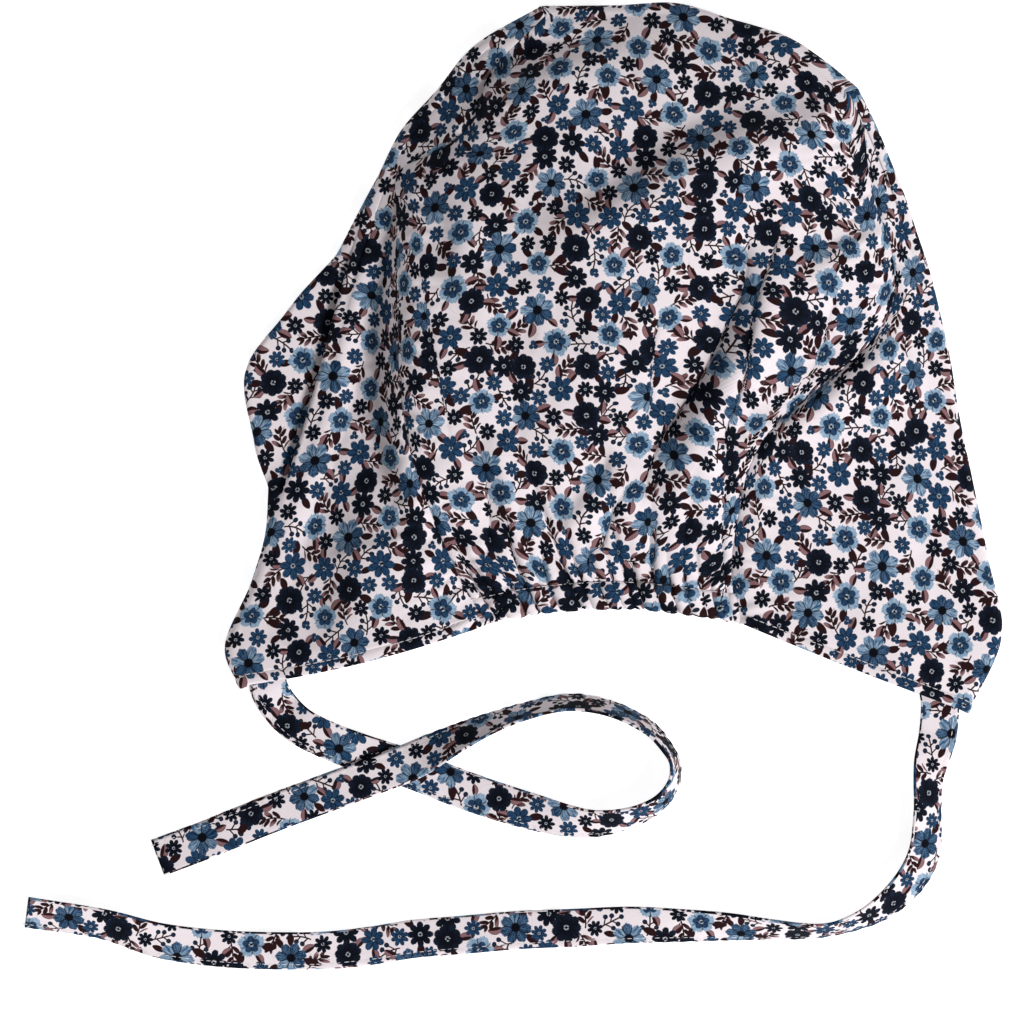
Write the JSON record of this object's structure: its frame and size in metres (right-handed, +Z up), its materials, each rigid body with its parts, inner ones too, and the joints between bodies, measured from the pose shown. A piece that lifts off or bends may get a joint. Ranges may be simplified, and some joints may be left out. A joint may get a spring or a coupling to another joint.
{
  "type": "scrub cap",
  "caption": "Soft cloth scrub cap lying flat, nape side up: gathered nape casing, deep band round a full crown, folded rim hem and flat ties.",
  "frame": {"origin": "on the surface it lies on, under the middle of the cap's box", "axes": "+Z up from the surface, +X across the cap, +Y from the open rim to the top of the crown"},
  "size_m": [0.3812, 0.3774, 0.0402],
  "materials": {
    "printed_cotton": "white cotton twill with a small blue floral print",
    "hem_cotton": "the same print, turned in and topstitched",
    "tie_cotton": "the same print, folded to a flat strip and topstitched"
  },
  "bodies": {
    "root": {"crown": "printed_cotton", "band": "printed_cotton", "nape_casing": "hem_cotton", "rim_hem": "hem_cotton", "tie_left": "tie_cotton", "tie_right": "tie_cotton"}
  },
  "joints": []
}
